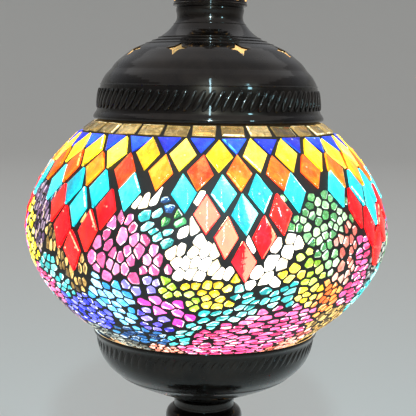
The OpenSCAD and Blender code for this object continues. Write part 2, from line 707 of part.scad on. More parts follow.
// ---------- Gallery, crown and finial ----------
gallery_r = neck_r + 1.8;
module gallery() {
    h = gallery_h;
    slot_r = 2.1;
    color(METAL) difference() {
        union() {
            translate([0, 0, cap_top_z]) spun([[gallery_r + 0.4, 0], [gallery_r + 0.4, 1.2], [gallery_r, 1.6],
                [gallery_r, h - 4], [gallery_r + 0.6, h - 3], [gallery_r + 1.4, h - 1.6], [gallery_r + 1, h]], sheet_t);
            ring(cap_top_z, sheet_t, gallery_r, 16);
        }
        for (i = [0 : vent_count - 1]) at_azimuth((i + 0.5) * 360 / vent_count)
            translate([0, -12, cap_top_z]) rotate([90, 0, 0]) linear_extrude(20) polygon(concat(
                [[slot_r, 3]], [for (a = [0 : 30 : 180]) [slot_r * cos(a), 0.55 * h + slot_r * sin(a)]],
                [[-slot_r, 3]]));
    }
}
module crown_dome() {
    h = crown_h;
    color(METAL) translate([0, 0, crown_z]) {
        spun(smooth([[gallery_r + 1, 0], [gallery_r + 1, 0.05 * h], [gallery_r, 0.14 * h], [gallery_r - 3, 0.36 * h],
            [gallery_r - 9, 0.62 * h], [gallery_r - 14, 0.82 * h], [9.6, h]]), sheet_t);
        ring(h - sheet_t, sheet_t, 9, rod_r + fit_gap);
    }
}
module crown_collar() {
    h = crown_collar_h;
    color(METAL) difference() {
        translate([0, 0, collar_top_z]) rotate_extrude() polygon(concat([[0, 0]],
            smooth([[10.6, 0], [12.4, 0.3 * h], [12.2, 0.6 * h], [9.4, h]]), [[0, h]]));
        translate([0, 0, collar_top_z - 1]) cylinder(r = rod_r + fit_gap, h = h + 2);
    }
}

// Threaded brass bush pressed into the finial
bush_r = 6;
bush_h = 14;
module finial_bush() {
    color(BRASS) ring(finial_z + seat_gap, bush_h, bush_r, rod_r + 0.06);
}
module finial() {
    h = finial_h;
    color(METAL) difference() {
        translate([0, 0, finial_z + seat_gap]) rotate_extrude() polygon(smooth([[0, 0], [8.4, 0], [9, 0.05 * h],
            [7.6, 0.1 * h], [7.9, 0.16 * h], [0.94 * finial_r, 0.27 * h], [finial_r, 0.38 * h], [0.86 * finial_r, 0.5 * h],
            [0.5 * finial_r, 0.6 * h], [0.3 * finial_r, 0.68 * h], [0.36 * finial_r, 0.73 * h], [0.48 * finial_r, 0.8 * h],
            [0.4 * finial_r, 0.87 * h], [0.2 * finial_r, 0.94 * h], [0, h]], 4));
        translate([0, 0, finial_z - 1]) cylinder(r = bush_r + 0.05, h = bush_h + 1.35 + seat_gap);
    }
}

base_felt();
base_plate();
plate_screws();
base_weight();
base_shell();
cord_bushing();
terminal_block();
terminal_screws();
inner_leads();
threaded_tube();
base_washer();
base_nut();
foot_bead();
lower_collar();
baluster();
upper_collar();
top_bead();
cup_shell();
cup_gasket();
cup_washer();
cup_nut();
holder_cap();
holder_insert();
holder_screws();
holder_contact();
holder_thread();
holder_skirt();
holder_ring();
globe_glass();
tile_grout();
amber_tiles();
blue_tiles();
yellow_tiles();
orange_tiles();
turquoise_tiles();
red_tiles();
crushed_glass();
cap_gasket();
cap_shell();
cap_spider();
tie_rod();
rod_washer();
rod_nut();
gallery();
crown_dome();
crown_collar();
finial_bush();
finial();
bulb_contact();
bulb_cap();
bulb_glass();
bulb_stem();
bulb_filaments();
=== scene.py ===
import bpy
import math
import random
from mathutils import Matrix, Vector
from mathutils.geometry import delaunay_2d_cdt
from mathutils.kdtree import KDTree


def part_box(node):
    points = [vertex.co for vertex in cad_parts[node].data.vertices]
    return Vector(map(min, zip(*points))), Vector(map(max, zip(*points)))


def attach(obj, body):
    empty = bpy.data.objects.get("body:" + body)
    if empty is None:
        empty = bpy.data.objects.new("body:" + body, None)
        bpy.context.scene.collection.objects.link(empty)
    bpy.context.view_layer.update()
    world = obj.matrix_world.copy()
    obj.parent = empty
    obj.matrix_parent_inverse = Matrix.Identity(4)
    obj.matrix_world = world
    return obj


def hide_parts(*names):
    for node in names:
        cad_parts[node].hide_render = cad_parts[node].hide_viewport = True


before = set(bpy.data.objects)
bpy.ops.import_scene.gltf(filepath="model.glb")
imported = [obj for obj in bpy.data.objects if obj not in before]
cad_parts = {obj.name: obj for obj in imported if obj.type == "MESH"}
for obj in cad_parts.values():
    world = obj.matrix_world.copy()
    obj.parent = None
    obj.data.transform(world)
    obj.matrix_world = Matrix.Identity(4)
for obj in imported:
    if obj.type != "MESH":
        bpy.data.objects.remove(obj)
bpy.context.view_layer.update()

# ---------------------------------------------------------------- camera, floor and studio light
# A long lens looks slightly down at the globe from the front. The lamp stands on a pale paper sweep,
# lit by a cool strip and a cool spot over the camera, a third cool lamp to the right and a large panel above.
glass_low, glass_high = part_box("globe_glass")
globe_r = 0.1236
equator_z = 0.30292
camera_away = 0.7
camera_up = 0.1004
camera_down = 7.03
camera_roll = 0.9
floor_r = 5.0
sweep_r = 3.0


def srgb(code):
    """A hex colour as linear red, green, blue and alpha."""
    parts = [int(code[i:i + 2], 16) / 255 for i in (0, 2, 4)]
    linear = [c / 12.92 if c <= 0.04045 else ((c + 0.055) / 1.055) ** 2.4 for c in parts]
    return (*linear, 1.0)


def node(material, kind, settings=None, **links):
    """Adds one shader node, with its settings and with its inputs set or linked by name."""
    made = material.node_tree.nodes.new(kind)
    for key, value in (settings or {}).items():
        setattr(made, key, value)
    for key, value in links.items():
        by_number = key[0] == "i" and key[1:].isdigit()
        socket = made.inputs[int(key[1:]) if by_number else key.replace("_", " ")]
        if isinstance(value, bpy.types.NodeSocket):
            material.node_tree.links.new(value, socket)
        else:
            socket.default_value = value
    return made


def blank(name):
    """A new material with only its output and a principled shader, which is returned with it."""
    material = bpy.data.materials.new(name)
    material.use_nodes = True
    material.node_tree.nodes.clear()
    surface = node(material, "ShaderNodeBsdfPrincipled")
    node(material, "ShaderNodeOutputMaterial", Surface=surface.outputs[0])
    return material, surface


def link(material, output, socket):
    material.node_tree.links.new(output, socket)


camera_data = bpy.data.cameras.new("studio_camera")
camera_data.lens = 86.85
camera_data.sensor_width = 36
camera_data.shift_x = 0.0024
camera = bpy.data.objects.new("studio_camera", camera_data)
bpy.context.scene.collection.objects.link(camera)
camera_turn = Matrix.Rotation(math.radians(90 - camera_down), 4, "X") @ \
    Matrix.Rotation(math.radians(camera_roll), 4, "Z")
camera.matrix_world = Matrix.Translation((0, -camera_away, equator_z + camera_up)) @ camera_turn
bpy.context.scene.camera = camera
bpy.context.scene.view_settings.view_transform = "Standard"

bpy.ops.object.select_all(action="DESELECT")
bpy.ops.mesh.primitive_circle_add(vertices=96, radius=floor_r, fill_type="NGON", location=(0, 0, 0))
floor = bpy.context.object
floor.name = "floor"
bpy.ops.object.mode_set(mode="EDIT")
bpy.ops.mesh.select_all(action="DESELECT")
bpy.ops.mesh.select_mode(type="EDGE")
bpy.ops.mesh.select_all(action="SELECT")
bpy.ops.mesh.region_to_loop()
for k in range(1, 10):
    turn = math.radians(10 * k)
    before = math.radians(10 * (k - 1))
    wide = (floor_r + sweep_r * math.sin(turn)) / (floor_r + sweep_r * math.sin(before))
    bpy.ops.mesh.extrude_region_move()
    bpy.ops.transform.resize(value=(wide, wide, 1))
    bpy.ops.transform.translate(value=(0, 0, sweep_r * (math.cos(before) - math.cos(turn))))
bpy.ops.mesh.select_mode(type="VERT")
bpy.ops.object.mode_set(mode="OBJECT")
bpy.ops.object.shade_smooth_by_angle(angle=math.radians(40))
paper, paper_surface = blank("pale_paper")
paper_surface.inputs["Base Color"].default_value = srgb("D9D7D2")
paper_surface.inputs["Roughness"].default_value = 0.9
floor.data.materials.append(paper)

world = bpy.data.worlds.new("studio")
bpy.context.scene.world = world
world.use_nodes = True
world.node_tree.nodes["Background"].inputs["Color"].default_value = srgb("D2D4D8")
world.node_tree.nodes["Background"].inputs["Strength"].default_value = 0.5


def studio_light(name, azimuth, elevation, distance, wide, tall, power, colour):
    """A panel that faces the middle of the globe."""
    data = bpy.data.lights.new(name, "AREA")
    data.shape = "RECTANGLE"
    data.size = wide
    data.size_y = tall
    data.energy = power
    data.color = srgb(colour)[:3]
    lamp = bpy.data.objects.new(name, data)
    bpy.context.scene.collection.objects.link(lamp)
    a, e = math.radians(azimuth), math.radians(elevation)
    away = Vector((math.sin(a) * math.cos(e), -math.cos(a) * math.cos(e), math.sin(e)))
    lamp.matrix_world = Matrix.Translation(Vector((0, 0, equator_z)) + distance * away) @ \
        away.to_track_quat("Z", "Y").to_matrix().to_4x4()


studio_light("strip", 1.5, 32, 1.5, 0.035, 1.5, 8, "BFEFFF")
studio_light("spot", 1.5, 30, 1.5, 0.07, 0.07, 8, "CFF3FF")
studio_light("side", 44, 34, 1.5, 0.09, 0.3, 4, "A8E4F4")
studio_light("overhead", 0, 88, 4.0, 9.0, 9.0, 110, "FFFFFF")

# ---------------------------------------------------------------- glass globe
# One blown globe of clear soda glass, open at top and bottom, that carries the whole mosaic.
# It drops into the cup below and lifts off without tools.
clear_glass, clear_surface = blank("blown_soda_glass")
clear_surface.inputs["Base Color"].default_value = srgb("F4F8FF")
clear_surface.inputs["Roughness"].default_value = 0.02
clear_surface.inputs["IOR"].default_value = 1.52
clear_surface.inputs["Transmission Weight"].default_value = 1.0
clear_place = node(clear_glass, "ShaderNodeTexCoord")
clear_wave = node(clear_glass, "ShaderNodeTexNoise", Vector=clear_place.outputs["Object"], Scale=25.0, Detail=1.0)
clear_bump = node(clear_glass, "ShaderNodeBump", Height=clear_wave.outputs[0], Strength=0.08, Distance=0.0006)
link(clear_glass, clear_bump.outputs[0], clear_surface.inputs["Normal"])


def finish_cad(name, material):
    """Gives a CAD piece its material."""
    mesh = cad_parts[name].data
    mesh.materials.clear()
    mesh.materials.append(material)


finish_cad("globe_glass", clear_glass)

# The outside of the glass at a height, where up and down are where its curve would close.
outline_n = 1.8
outline_up = 0.1003
outline_down = 0.0907


def skin_r(height, stand_off):
    """Radius of a surface that stands off the glass, at a height over the widest ring."""
    close = (outline_up if height > 0 else outline_down) + stand_off
    ratio = min(abs(height) / close, 1)
    return (globe_r + stand_off) * (1 - ratio ** outline_n) ** (1 / outline_n)


def on_glass(azimuth, height, stand_off=0.0):
    """A point over the glass, with the way along a ring, the way up the glass and the way out."""
    r = skin_r(height, stand_off)
    slope = (skin_r(height + 2e-5, stand_off) - skin_r(height - 2e-5, stand_off)) / 4e-5
    a = math.radians(azimuth)
    out_flat = Vector((math.sin(a), -math.cos(a), 0))
    along = Vector((math.cos(a), math.sin(a), 0))
    up = (out_flat * slope + Vector((0, 0, 1))).normalized()
    return out_flat * r + Vector((0, 0, equator_z + height)), along, up, along.cross(up)


# Heights on the glass for lengths measured along it from the widest ring.
arc_step = 0.0005
arc_end = 0.094
arc_heights = [0.0]
arc_lengths = [0.0]
while arc_heights[-1] < arc_end:
    h = arc_heights[-1] + arc_step
    step = math.hypot(arc_step, skin_r(h, 0) - skin_r(h - arc_step, 0))
    arc_heights.append(h)
    arc_lengths.append(arc_lengths[-1] + step)


def height_at(length):
    """Height over the widest ring at a length along the glass."""
    i = min(range(len(arc_lengths)), key=lambda k: abs(arc_lengths[k] - abs(length)))
    return math.copysign(arc_heights[i], length)


# ---------------------------------------------------------------- the layout of the mosaic
# Hand-cut tiles in 28 columns make seven points that hang round the globe. Each tile sits a little
# out of true, as laid by hand. The spaces and the lower half are filled with crushed glass.
tile_w = 0.0153
tile_h = 0.0256
tile_bed = 0.0002
row_step = 0.0133
top_level = 0.0782
column_count = 28
cluster_count = 7
cluster_az = 10.5
cluster_pitch = 0.0222
hand = random.Random(11)


def placed(azimuth, height, outline, wobble=1.0):
    """A flat outline laid on the glass, turned, slid and stretched a little as by hand."""
    here, along, up, out = on_glass(azimuth, height, tile_bed)
    turn = math.radians(hand.gauss(0, 2.2) * wobble)
    slide = Vector((hand.gauss(0, 0.00035), hand.gauss(0, 0.0003))) * wobble
    wide = 1 + hand.gauss(0, 0.025) * wobble
    tall = 1 + hand.gauss(0, 0.022) * wobble
    lean = hand.gauss(0, 0.035) * wobble
    corners = []
    for x, y in outline:
        x = x * wide + y * lean + hand.gauss(0, 0.00022) * wobble
        y = y * tall + hand.gauss(0, 0.00022) * wobble
        u = x * math.cos(turn) - y * math.sin(turn) + slide.x
        v = x * math.sin(turn) + y * math.cos(turn) + slide.y
        corners.append(here + along * u + up * v)
    return corners


diamond = [(-tile_w / 2, 0), (0, -tile_h / 2), (tile_w / 2, 0), (0, tile_h / 2)]
arrow = [(-tile_w / 2, row_step * 0.47), (0, -row_step * 0.47), (tile_w / 2, row_step * 0.47)]


def full_row(level, shift):
    """A ring of diamonds, centred on a level."""
    height = height_at(top_level - level * row_step)
    return [placed(cluster_az + (i + shift) * 360 / column_count, height, diamond) for i in range(column_count)]


def cluster_row(level, places):
    """Diamonds at places in each point, in steps from its middle line."""
    height = height_at(top_level - level * row_step)
    step = math.degrees(cluster_pitch / skin_r(height, 0))
    return [placed(cluster_az + c * 360 / cluster_count + p * step, height, diamond)
            for c in range(cluster_count) for p in places]


amber_count = 30
amber_height = height_at(top_level) + 0.0040
amber_w = 2 * math.pi * skin_r(amber_height, 0) / amber_count - 0.0026
amber_outline = [(-amber_w / 2, -0.0047), (amber_w / 2, -0.0047), (amber_w / 2, 0.0047), (-amber_w / 2, 0.0047)]
arrow_height = height_at(top_level - 0.5 * row_step)

tiles = {
    "amber_tiles": [placed(cluster_az + i * 360 / amber_count, amber_height, amber_outline, 0.6)
                    for i in range(amber_count)],
    "blue_tiles": [placed(cluster_az + i * 360 / column_count, arrow_height, arrow, 0.8)
                   for i in range(column_count)],
    "yellow_tiles": full_row(1, 0.5),
    "orange_tiles": full_row(2, 0),
    "turquoise_tiles": cluster_row(3, (-1.5, -0.5, 0.5, 1.5)) + cluster_row(4, (0,)),
    "red_tiles": cluster_row(4, (-1, 1)) + cluster_row(5, (-0.5, 0.5)) + cluster_row(6, (0,)),
}
tile_shapes = [corners for rows in tiles.values() for corners in rows]


def flat_pieces(name, outlines):
    """One mesh of separate flat faces that look outwards."""
    mesh = bpy.data.meshes.new(name)
    points = [p for outline in outlines for p in outline]
    faces = []
    start = 0
    for outline in outlines:
        faces.append(list(range(start, start + len(outline))))
        start += len(outline)
    mesh.from_pydata(points, [], faces)
    obj = bpy.data.objects.new(name, mesh)
    bpy.context.scene.collection.objects.link(obj)
    bpy.ops.object.select_all(action="DESELECT")
    obj.select_set(True)
    bpy.context.view_layer.objects.active = obj
    return obj


def thicken(obj, wall, rings, dome, angle=35, even=True):
    """Raises every face by wall, steps it in by rings of (in, up), and pokes it up to a dome."""
    bpy.ops.object.mode_set(mode="EDIT")
    bpy.ops.mesh.select_all(action="SELECT")
    bpy.ops.mesh.inset(thickness=1e-6, depth=wall, use_individual=True, use_even_offset=False)
    for inward, upward in rings:
        bpy.ops.mesh.inset(thickness=inward, depth=upward, use_individual=True, use_even_offset=even)
    if dome:
        bpy.ops.mesh.poke(offset=dome)
    bpy.ops.mesh.select_all(action="SELECT")
    bpy.ops.mesh.fill_holes(sides=0)
    bpy.ops.mesh.select_all(action="SELECT")
    bpy.ops.mesh.normals_make_consistent(inside=False)
    bpy.ops.object.mode_set(mode="OBJECT")
    bpy.ops.object.shade_smooth_by_angle(angle=math.radians(angle))


def paint_glint_faces(obj, outlines, share, spread):
    """Gives the slanted faces on one side of each piece the second material, a painted highlight as where light
    leaves it.
    """
    centres = KDTree(len(outlines))
    for i, outline in enumerate(outlines):
        centres.insert(sum(outline, Vector()) / len(outline), i)
    centres.balance()
    for face in obj.data.polygons:
        middle = face.center
        _, i, _ = centres.find(middle)
        luck = random.Random(i * 7 + len(outlines))
        azimuth = math.degrees(math.atan2(middle.x, -middle.y))
        _, along, up, out = on_glass(azimuth, middle.z - equator_z)
        tilt = face.normal.dot(out)
        if not 0.2 < tilt < 0.97:
            continue
        turn = math.degrees(math.atan2(face.normal.dot(up), face.normal.dot(along)))
        for _ in range(2):
            chosen = luck.random() < share
            toward = luck.uniform(-180, 180)
            if chosen and abs((turn - toward + 180) % 360 - 180) < spread:
                face.material_index = 1


# ---------------------------------------------------------------- cut glass tiles
# Rolled cathedral glass, scored and snapped to shape, with edges ground to a small bevel. The light that
# fills a tile is painted into its material as a glow in its own colour, with painted highlights along the ground
# edges.
def stained_glass(name, deep, body, pale, glow, clear=0.55, streak_mm=9.0, seed_mm=1.6, rough=0.07,
                  seeded=True, thin=0.06):
    """Rolled coloured glass, with a painted glow for the light of the bulb behind it. Streaks and seeds are sized
    in millimetres.
    """
    material, surface = blank(name)
    place = node(material, "ShaderNodeTexCoord").outputs["Object"]
    one = node(material, "ShaderNodeNewGeometry").outputs["Random Per Island"]
    streak = node(material, "ShaderNodeTexNoise", Vector=place, Scale=1000 / streak_mm, Detail=3.0, Roughness=0.6,
                  Distortion=0.6)
    mixed = node(material, "ShaderNodeMath", {"operation": "MULTIPLY_ADD"}, i0=streak.outputs[0], i1=1.1, i2=-0.55)
    tone = node(material, "ShaderNodeMath", {"operation": "ADD", "use_clamp": True}, i0=one, i1=mixed.outputs[0])
    ramp = node(material, "ShaderNodeValToRGB", Fac=tone.outputs[0])
    ramp.color_ramp.elements[0].color = srgb(deep)
    ramp.color_ramp.elements[0].position = 0.02
    ramp.color_ramp.elements[1].color = srgb(pale)
    ramp.color_ramp.elements[1].position = 0.98
    middle = ramp.color_ramp.elements.new(0.5)
    middle.color = srgb(body)
    light = ramp.outputs[0]
    # Seeds, the small bubbles of rolled glass, are painted into the glow as pale cream glints.
    if seeded:
        seeds = node(material, "ShaderNodeTexVoronoi", Vector=place, Scale=1000 / (seed_mm * 4), Randomness=1.0)
        seed_glint = node(material, "ShaderNodeMapRange", Value=seeds.outputs["Distance"], i1=0.06, i2=0.13,
                         i3=1.0, i4=0.0)
        seed_glint_mix = node(material, "ShaderNodeMix", {"data_type": "RGBA"}, Factor=seed_glint.outputs[0])
        link(material, ramp.outputs[0], seed_glint_mix.inputs[6])
        seed_glint_mix.inputs[7].default_value = srgb("FFF2C8")
        light = seed_glint_mix.outputs[2]
    # Painted light: the glow, brighter in the paler pieces, stands in for the bulb shining through.
    strength = node(material, "ShaderNodeMath", {"operation": "MULTIPLY_ADD"}, i0=tone.outputs[0], i1=glow * 0.6,
                    i2=glow * 0.65)
    relief = node(material, "ShaderNodeBump", Height=streak.outputs[0], Strength=0.3, Distance=0.0006)
    through = node(material, "ShaderNodeMix", {"data_type": "RGBA"}, Factor=thin)
    link(material, ramp.outputs[0], through.inputs[6])
    through.inputs[7].default_value = (1, 1, 1, 1)
    link(material, through.outputs[2], surface.inputs["Base Color"])
    link(material, light, surface.inputs["Emission Color"])
    link(material, strength.outputs[0], surface.inputs["Emission Strength"])
    link(material, relief.outputs[0], surface.inputs["Normal"])
    surface.inputs["Transmission Weight"].default_value = clear
    surface.inputs["Roughness"].default_value = rough
    surface.inputs["IOR"].default_value = 1.52
    return material


def painted_glint_edge(name, low, high, glow, grain_mm=2.2):
    """A painted highlight on the ground edge of a piece, glowing where light from inside would leave it. It breaks
    up along its length.
    """
    material, surface = blank(name)
    place = node(material, "ShaderNodeTexCoord").outputs["Object"]
    break_up = node(material, "ShaderNodeTexNoise", Vector=place, Scale=1000 / grain_mm, Detail=2.0)
    ramp = node(material, "ShaderNodeValToRGB", Fac=break_up.outputs[0])
    ramp.color_ramp.elements[0].color = srgb(low)
    ramp.color_ramp.elements[0].position = 0.36
    ramp.color_ramp.elements[1].color = srgb(high)
    ramp.color_ramp.elements[1].position = 0.56
    strength = node(material, "ShaderNodeMath", {"operation": "MULTIPLY_ADD"}, i0=break_up.outputs[0], i1=glow,
                    i2=glow * 0.5)
    link(material, ramp.outputs[0], surface.inputs["Base Color"])
    link(material, ramp.outputs[0], surface.inputs["Emission Color"])
    link(material, strength.outputs[0], surface.inputs["Emission Strength"])
    surface.inputs["Transmission Weight"].default_value = 0.3
    surface.inputs["Roughness"].default_value = 0.15
    surface.inputs["IOR"].default_value = 1.52
    return material


tile_glass = {
    "amber_tiles": (stained_glass("amber_cathedral_glass", "4A3C18", "90783C", "E6CC8C", 0.6, 0.8, 4.0),
                    painted_glint_edge("amber_edge_glint", "A08040", "FFEFC0", 1.2)),
    "blue_tiles": (stained_glass("cobalt_cathedral_glass", "0818A8", "1038E8", "1E64FF", 1.0, 0.7),
                   painted_glint_edge("cobalt_edge_glint", "1040E8", "60D0FF", 1.1)),
    "yellow_tiles": (stained_glass("yellow_cathedral_glass", "F8B800", "FFE018", "FFEC70", 0.95, 0.85),
                     painted_glint_edge("yellow_edge_glint", "FFE040", "FFFCD0", 1.3)),
    "orange_tiles": (stained_glass("orange_cathedral_glass", "F03C00", "FF6A0C", "FFAA10", 0.95, 0.85),
                     painted_glint_edge("orange_edge_glint", "FF7010", "FFE070", 1.1)),
    "turquoise_tiles": (stained_glass("turquoise_cathedral_glass", "18B0C4", "22D8E4", "50F4FA", 0.95, 0.85),
                        painted_glint_edge("turquoise_edge_glint", "40E0F0", "FFFFFF", 1.4)),
    "red_tiles": (stained_glass("red_cathedral_glass", "E00818", "F8101C", "FF3020", 1.0, 0.85),
                  painted_glint_edge("red_edge_glint", "FF2818", "FFD0A0", 1.0, 3.0)),
}
# Share of the faces of each kind of tile that get the painted highlight.
tile_glint_share = {"amber_tiles": 0.7, "yellow_tiles": 0.6, "orange_tiles": 0.55, "turquoise_tiles": 0.65}
for name, outlines in tiles.items():
    pieces = flat_pieces(name + "_cut", outlines)
    thicken(pieces, 0.0017 if name == "amber_tiles" else 0.0019, [(0.0002, 0.0001), (0.0007, 0.00045)], 0)
    for glass in tile_glass[name]:
        pieces.data.materials.append(glass)
    paint_glint_faces(pieces, outlines, tile_glint_share.get(name, 0.3), 28)
    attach(pieces, "globe")
    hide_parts(name)

# ---------------------------------------------------------------- crushed glass
# Rods and sheets of coloured glass broken small and pressed one by one into the adhesive, in patches
# of one colour that sweep round the globe. The patches below go over the front; the back repeats them.
# The opal patches in the front middle are pale cream glass carrying a painted glare of the bulb behind: a strong
# white glow, bigger pieces and narrower gaps.
patches = [
    ("opal", -15, 33), ("opal", -17, 27), ("navy", -11, 30), ("green_deep", -10, 21), ("teal", -16, 21),
    ("teal", -12, 12), ("rose", -22, 17), ("rose", -17, 5), ("rose", -24, 2), ("rose", -29, -8),
    ("rose", -20, -10), ("rose", -13, -6), ("opal", -4, 11), ("opal", 1, 1), ("opal", 0, 22),
    ("opal", -7, 2), ("opal", -3, -10), ("lime", -9, -19), ("yellow", -3, -19), ("yellow", 3, -26),
    ("lime", -5, -26), ("magenta", -15, -27), ("magenta", -8, -32), ("magenta", -6, -39),
    ("lilac", -20, -22), ("lilac", -16, -14), ("sky", -27, -28), ("sky", -33, -24), ("sky", -25, -41),
    ("sky", -26, -35), ("indigo", -19, -42), ("indigo", -12, -46), ("royal", -40, -46), ("royal", -42, -37),
    ("navy", -32, -57), ("navy", -20, -57), ("slate", -38, -66), ("slate", -54, -64), ("teal", -10, -55),
    ("teal", -1, -43), ("teal", 5, -35), ("teal", 12, -28), ("teal", 19, -21), ("teal", 25, -21),
    ("pink", 2, -53), ("pink", 12, -45), ("pink", 22, -41), ("pink", 32, -40), ("pink", 17, -61),
    ("pink", -6, -66), ("pink", 32, -56), ("salmon", -16, -68), ("salmon", 44, -62), ("amber", 58, -58),
    ("amber", 50, -48), ("green", 30, 33), ("green", 37, 28), ("green", 27, 19), ("green", 40, 14),
    ("green", 32, 5), ("green", 37, -6), ("lime", 29, -2), ("lime", 32, -12), ("yellow", 25, -11),
    ("yellow", 33, -24), ("opal", 19, -4), ("opal", 22, 9), ("opal", 18, -14), ("orange", 44, -32),
    ("orange", 40, -26), ("salmon", 44, -10), ("salmon", 43, 5), ("pink", 52, -3), ("pink", 55, -17),
    ("pink", 52, -28), ("slate", 72, 20), ("slate", 67, 2), ("teal", 70, -33), ("slate", 62, -12),
    ("violet", -60, 27), ("violet", -56, 19), ("violet", -60, 8), ("amber", -45, 0), ("amber", -42, -10),
    ("amber", -51, 8), ("yellow", -67, -1), ("yellow", -70, -13), ("teal", -54, -17), ("teal", -50, -26),
    ("pink", -68, -24), ("pink", -60, -33), ("amber", -42, -19), ("royal", -52, -41), ("violet", -66, -50),
    ("teal", -80, -40), ("sky", -82, -60), ("green", 84, -12), ("lime", 84, -50), ("indigo", 80, 28),
    ("rose", 88, 10), ("yellow", -88, 18), ("magenta", -84, -4),
]
# How each colour is broken: size, how many times longer than wide, and the way it lies in degrees.
broken = {
    "violet": (0.76, 2.0, 82), "amber": (0.78, 2.0, 78), "salmon": (0.84, 1.3, 70), "slate": (0.84, 1.6, 10),
    "green": (0.86, 1.25, 40), "lime": (0.84, 1.2, 20), "green_deep": (0.95, 1.5, 60), "rose": (1.12, 1.45, 70),
    "magenta": (1.25, 1.5, -35), "opal": (1.12, 1.7, 60), "pink": (0.95, 2.1, 8), "teal": (0.95, 1.8, 25),
    "sky": (0.95, 1.4, -40), "royal": (0.86, 1.3, -30), "navy": (0.86, 1.5, 0), "lilac": (1.1, 1.3, 60),
    "orange": (0.9, 1.3, 50), "yellow": (0.95, 1.3, 30), "indigo": (0.9, 1.3, 0),
}
patch_tree = KDTree(2 * len(patches))
for i, (colour, azimuth, millimetres) in enumerate(patches):
    patch_tree.insert(on_glass(azimuth, millimetres / 1000)[0], i)
    patch_tree.insert(on_glass(azimuth + 180, millimetres / 1000)[0], i)
patch_tree.balance()


def outward_gap(point, shape):
    """How far a point is outside a flat convex shape, with the side of the shape it faces."""
    centre = sum(shape, Vector()) / len(shape)
    up = (shape[1] - shape[0]).cross(shape[2] - shape[1]).normalized()
    best = (-1.0, None)
    for a, b in zip(shape, shape[1:] + shape[:1]):
        side = (b - a).cross(up).normalized()
        if side.dot(a - centre) < 0:
            side = -side
        gap = side.dot(point - a)
        if gap > best[0]:
            best = (gap, side)
    return best


tile_tree = KDTree(len(tile_shapes))
for i, shape in enumerate(tile_shapes):
    tile_tree.insert(sum(shape, Vector()) / len(shape), i)
tile_tree.balance()

piece_space = 0.0053
seam_half = 0.0012
seam_empty = 0.55
lost_share = 0.03
seed_to_tile = 0.0020
grid_cell = 0.009
scatter = random.Random(5)
lowest = -0.0785
highest = height_at(top_level - 3 * row_step) - 0.001
seeds = []
grid = {}
tries = 70000


def stretched(flat, colour):
    """A step over the glass as the glass of that colour counts it, longer pieces lying close side by side."""
    _, long, lean = broken[colour]
    c, s = math.cos(math.radians(lean)), math.sin(math.radians(lean))
    u, v = flat.x * c + flat.y * s, flat.y * c - flat.x * s
    return Vector((u / math.sqrt(long), v * math.sqrt(long)))


def unstretched(flat, colour):
    """The step over the glass for a step as the glass of that colour counts it."""
    _, long, lean = broken[colour]
    c, s = math.cos(math.radians(lean)), math.sin(math.radians(lean))
    u, v = flat.x * math.sqrt(long), flat.y / math.sqrt(long)
    return Vector((u * c - v * s, u * s + v * c))


for _ in range(tries):
    height = scatter.uniform(lowest, highest)
    slope = (skin_r(height + 1e-4, 0) - skin_r(height - 1e-4, 0)) / 2e-4
    if scatter.random() > skin_r(height, 0) / globe_r * math.hypot(1, slope) / 2.2:
        continue
    azimuth = scatter.uniform(-180, 180)
    point, along, up, _ = on_glass(azimuth, height, tile_bed)
    around = patch_tree.find_n(point, 5)
    colour = patches[around[0][1]][0]
    other = min([d for _, i, d in around if patches[i][0] != colour], default=0.03)
    if (other - around[0][2]) / 2 < seam_half and scatter.random() < seam_empty or scatter.random() < lost_share:
        continue
    apart = piece_space * broken[colour][0] * scatter.uniform(0.78, 1.24)
    cell = tuple(int(c // grid_cell) for c in point)
    near = [s for dx in (-1, 0, 1) for dy in (-1, 0, 1) for dz in (-1, 0, 1)
            for s in grid.get((cell[0] + dx, cell[1] + dy, cell[2] + dz), [])]
    crowded = False
    for s in near:
        step = Vector(((s[0] - point).dot(along), (s[0] - point).dot(up)))
        if s[3] == colour:
            step = stretched(step, colour)
        if step.length < (apart + s[4]) / 2:
            crowded = True
            break
    if crowded:
        continue
    if any(outward_gap(point, tile_shapes[i])[0] < seed_to_tile for _, i, _ in tile_tree.find_range(point, 0.019)):
        continue
    seed = (point, azimuth, height, colour, apart)
    seeds.append(seed)
    grid.setdefault(cell, []).append(seed)

seed_tree = KDTree(len(seeds))
for i, seed in enumerate(seeds):
    seed_tree.insert(seed[0], i)
seed_tree.balance()


def clip(polygon, normal, limit):
    """The part of a flat polygon of (x, y) where normal . p is below limit."""
    kept = []
    for (ax, ay), (bx, by) in zip(polygon, polygon[1:] + polygon[:1]):
        da = normal[0] * ax + normal[1] * ay - limit
        db = normal[0] * bx + normal[1] * by - limit
        if da <= 0:
            kept.append((ax, ay))
        if da * db < 0:
            t = da / (da - db)
            kept.append((ax + t * (bx - ax), ay + t * (by - ay)))
    return kept


